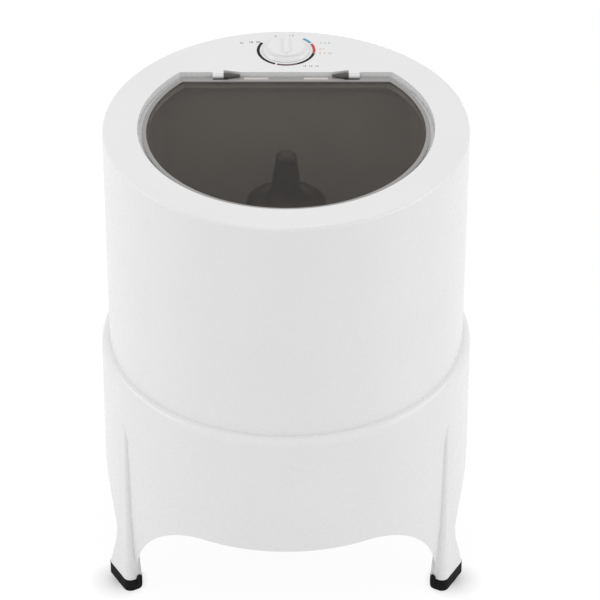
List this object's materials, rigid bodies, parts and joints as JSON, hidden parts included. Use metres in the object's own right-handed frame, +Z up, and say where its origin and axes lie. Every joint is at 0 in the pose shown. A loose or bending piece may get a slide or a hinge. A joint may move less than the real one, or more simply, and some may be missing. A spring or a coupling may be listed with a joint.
{
  "type": "top-loading washing machine",
  "caption": "Round semi-automatic top-loading washing machine on legs, with a hinged smoked lid, a timer knob, a tall agitator and a belt drive.",
  "frame": {"origin": "centre of the machine's footprint box, on the floor; the tub's axis is 8.25 mm in front of it", "axes": "+Z up, the front is towards -Y, the timer knob is towards +Y, +X to the right seen from the front"},
  "size_m": [0.52, 0.5364, 0.7007],
  "materials": {
    "white_plastic": "white polypropylene, satin gloss",
    "white_plastic_inner": "off-white moulding",
    "tub_plastic": "pale grey polypropylene, satin",
    "grey_plastic": "mid-grey moulding, satin",
    "pale_pad": "pale grey elastomer, smooth",
    "smoked_plastic": "smoked clear plastic, polished",
    "agitator_plastic": "dark moulding, satin",
    "agitator_plug_plastic": "dark grey moulding, satin",
    "hinge_plastic": "dark grey moulding",
    "fan_plastic": "black moulding",
    "black_rubber": "black rubber",
    "foot_rubber": "black rubber, matt",
    "zinc_steel": "zinc-plated steel",
    "shaft_steel": "ground stainless steel",
    "motor_steel": "varnished steel laminations",
    "bracket_steel": "galvanised steel sheet",
    "cast_aluminium": "as-cast aluminium",
    "bearing_bronze": "sintered bronze",
    "brass_spindle": "turned brass",
    "capacitor_can": "plain moulded can"
  },
  "bodies": {
    "casing": {"outer_cabinet": "white_plastic", "base_skirt": "white_plastic", "wash_tub": "tub_plastic", "tub_gasket": "black_rubber", "bottom_cover": "grey_plastic", "cabinet_screws": "zinc_steel", "tub_screws": "zinc_steel", "cover_screws": "zinc_steel", "timer_body": "white_plastic_inner", "timer_screws": "zinc_steel", "bearing_housing": "cast_aluminium", "housing_screws": "zinc_steel", "lower_bush": "bearing_bronze", "upper_bush": "bearing_bronze", "shaft_seal": "black_rubber", "drive_belt": "black_rubber", "motor_stator": "motor_steel", "motor_lower_bell": "cast_aluminium", "motor_upper_bell": "cast_aluminium", "motor_bracket": "bracket_steel", "motor_studs": "zinc_steel", "bracket_screws": "zinc_steel", "capacitor": "capacitor_can", "capacitor_clip": "bracket_steel", "drain_outlet": "grey_plastic", "drain_strainer": "shaft_steel", "cord_gland": "black_rubber", "foot_cap_front_left": "foot_rubber", "foot_cap_front_right": "foot_rubber", "foot_cap_rear": "foot_rubber"},
    "lid": {"lid_frame": "grey_plastic", "lid_panel": "smoked_plastic", "lid_pads": "pale_pad", "hinge_lug_left": "hinge_plastic", "hinge_lug_right": "hinge_plastic", "hinge_pin_left": "shaft_steel", "hinge_pin_right": "shaft_steel"},
    "knob": {"timer_knob": "white_plastic", "timer_shaft": "brass_spindle"},
    "washer": {"agitator": "agitator_plastic", "agitator_cap": "agitator_plastic", "agitator_plug": "agitator_plug_plastic", "agitator_bolt": "zinc_steel", "drive_shaft": "shaft_steel", "driven_pulley": "cast_aluminium", "pulley_nut": "zinc_steel"},
    "rotor": {"motor_rotor": "motor_steel", "motor_pulley": "cast_aluminium", "motor_fan": "fan_plastic"}
  },
  "joints": [
    {"name": "lid_hinge", "type": "hinge", "parent": "casing", "child": "lid", "pos_m": [0, 0.12715, 0.686], "axis": [-1, 0, 0], "range_deg": [0, 100]},
    {"name": "timer_turn", "type": "hinge", "parent": "casing", "child": "knob", "pos_m": [0, 0.18875, 0.695], "axis": [0, 0, -1], "range_deg": [0, 300]},
    {"name": "agitator_spin", "type": "hinge", "parent": "casing", "child": "washer", "pos_m": [0, -0.00825, 0.3], "axis": [0, 0, 1], "continuous": true},
    {"name": "motor_spin", "type": "hinge", "parent": "casing", "child": "rotor", "pos_m": [0, 0.13775, 0.28], "axis": [0, 0, 1], "continuous": true}
  ],
  "couplings": [
    {"joint": "motor_spin", "follows": "agitator_spin", "ratio": 5.6405}
  ]
}
